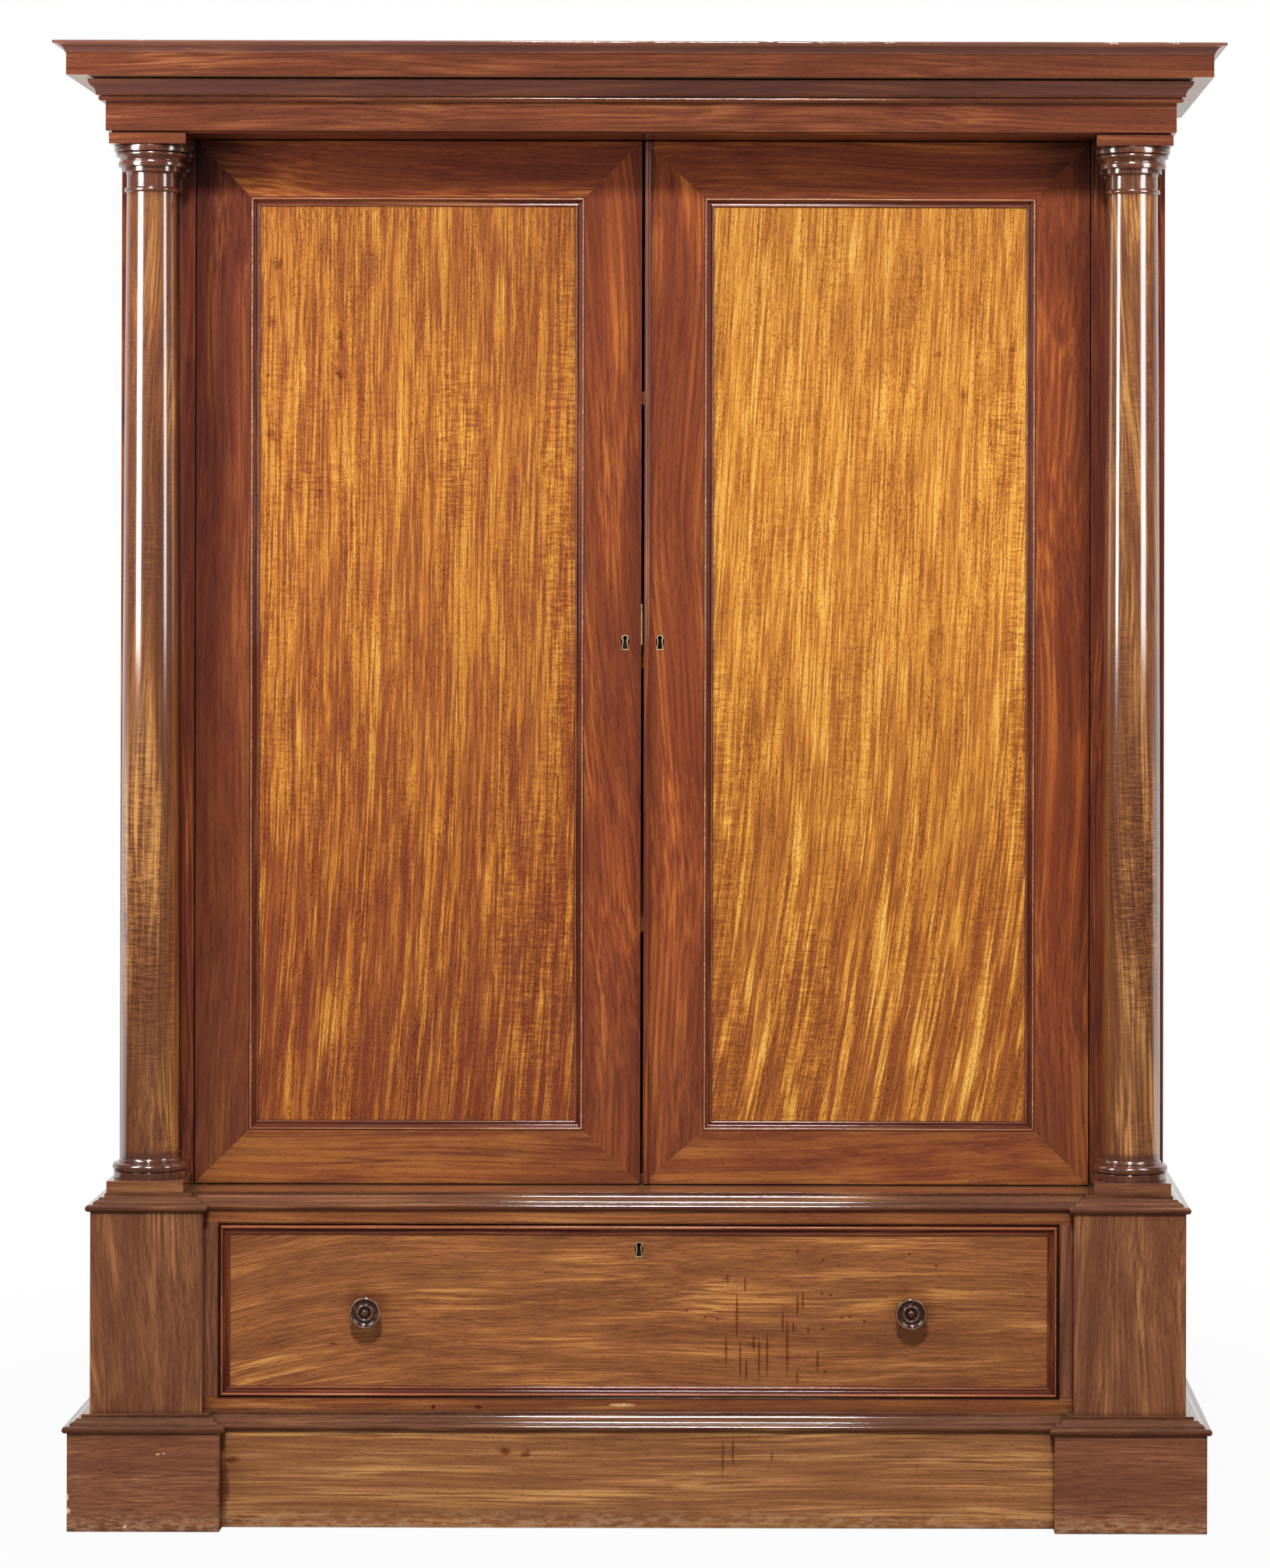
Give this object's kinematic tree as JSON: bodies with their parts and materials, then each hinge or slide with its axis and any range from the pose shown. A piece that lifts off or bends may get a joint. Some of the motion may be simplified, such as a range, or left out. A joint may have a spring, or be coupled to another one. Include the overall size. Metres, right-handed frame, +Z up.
{
  "type": "linen press",
  "caption": "Tall mahogany linen press: lift-off cornice, two panelled doors between free-standing turned columns, shelves inside, and a long drawer in the base.",
  "frame": {"origin": "on the floor, midway between the sides and between the front edge of the cornice and the back", "axes": "+X to the right seen from the front, +Y to the back, +Z up"},
  "size_m": [1.729, 0.69, 2.198],
  "materials": {
    "mahogany_cornice": "french polished, dark red brown",
    "mahogany_carcass": "french polished",
    "mahogany_door": "french polished, red brown",
    "mahogany_base": "polished, faded golden brown",
    "mahogany_column": "french polished, high gloss",
    "satinwood_panel": "french polished, golden figured veneer",
    "turned_knob": "french polished, dark",
    "pine": "bare, aged",
    "brass": "worn"
  },
  "bodies": {
    "case": {"cornice_frame": "mahogany_cornice", "cornice_bed_moulding": "mahogany_cornice", "cornice_crown_moulding": "mahogany_cornice", "cornice_bottom_board": "mahogany_cornice", "corner_stile_left": "mahogany_carcass", "corner_stile_right": "mahogany_carcass", "carcass_side_left": "mahogany_carcass", "carcass_side_right": "mahogany_carcass", "door_stops": "mahogany_carcass", "base_top": "mahogany_carcass", "base_cap_moulding": "mahogany_carcass", "plinth_moulding": "mahogany_carcass", "base_side_left": "mahogany_carcass", "base_side_right": "mahogany_carcass", "plinth_sides": "mahogany_carcass", "pedestal_left": "mahogany_base", "pedestal_right": "mahogany_base", "plinth_blocks": "mahogany_base", "plinth_front_board": "mahogany_base", "drawer_rail_lower": "mahogany_base", "drawer_rail_upper": "mahogany_base", "drawer_opening_stiles": "mahogany_base", "column_left": "mahogany_column", "column_right": "mahogany_column", "column_foot_blocks": "mahogany_column", "column_abaci": "mahogany_column", "carcass_back": "pine", "base_back": "pine", "shelf_1": "pine", "shelf_2": "pine", "shelf_3": "pine", "drawer_runners": "pine", "hinge_plates": "brass"},
    "door_left": {"door_left_hinge_stile": "mahogany_door", "door_left_meeting_stile": "mahogany_door", "door_left_rails": "mahogany_door", "door_left_moulding": "mahogany_door", "door_left_panel": "satinwood_panel", "door_left_escutcheon": "brass", "door_left_lock_case": "brass", "door_left_hinge_leaves": "brass"},
    "door_right": {"door_right_hinge_stile": "mahogany_door", "door_right_meeting_stile": "mahogany_door", "door_right_rails": "mahogany_door", "door_right_moulding": "mahogany_door", "door_right_bead": "mahogany_door", "door_right_panel": "satinwood_panel", "door_right_escutcheon": "brass", "door_right_hinge_leaves": "brass"},
    "drawer": {"drawer_front": "mahogany_base", "drawer_bead": "mahogany_base", "drawer_knobs": "turned_knob", "drawer_side_left": "pine", "drawer_side_right": "pine", "drawer_back": "pine", "drawer_bottom": "pine", "drawer_escutcheon": "brass", "drawer_lock_case": "brass"},
    "door_lock_bolt": {"door_left_lock_bolt": "brass"},
    "drawer_bolt": {"drawer_lock_bolt": "brass"}
  },
  "joints": [
    {"name": "door_left_hinge", "type": "hinge", "parent": "case", "child": "door_left", "pos_m": [-0.659, -0.151, 0.4935], "axis": [0, 0, -1], "range_deg": [0, 94]},
    {"name": "door_right_hinge", "type": "hinge", "parent": "case", "child": "door_right", "pos_m": [0.659, -0.151, 0.4935], "axis": [0, 0, 1], "range_deg": [0, 94]},
    {"name": "drawer_slide", "type": "slide", "parent": "case", "child": "drawer", "axis": [0, -1, 0], "range_m": [0, 0.4]},
    {"name": "door_lock_bolt_slide", "type": "slide", "parent": "door_left", "child": "door_lock_bolt", "axis": [1, 0, 0], "range_m": [0, 0.012]},
    {"name": "drawer_bolt_slide", "type": "slide", "parent": "drawer", "child": "drawer_bolt", "axis": [0, 0, 1], "range_m": [0, 0.012]}
  ]
}
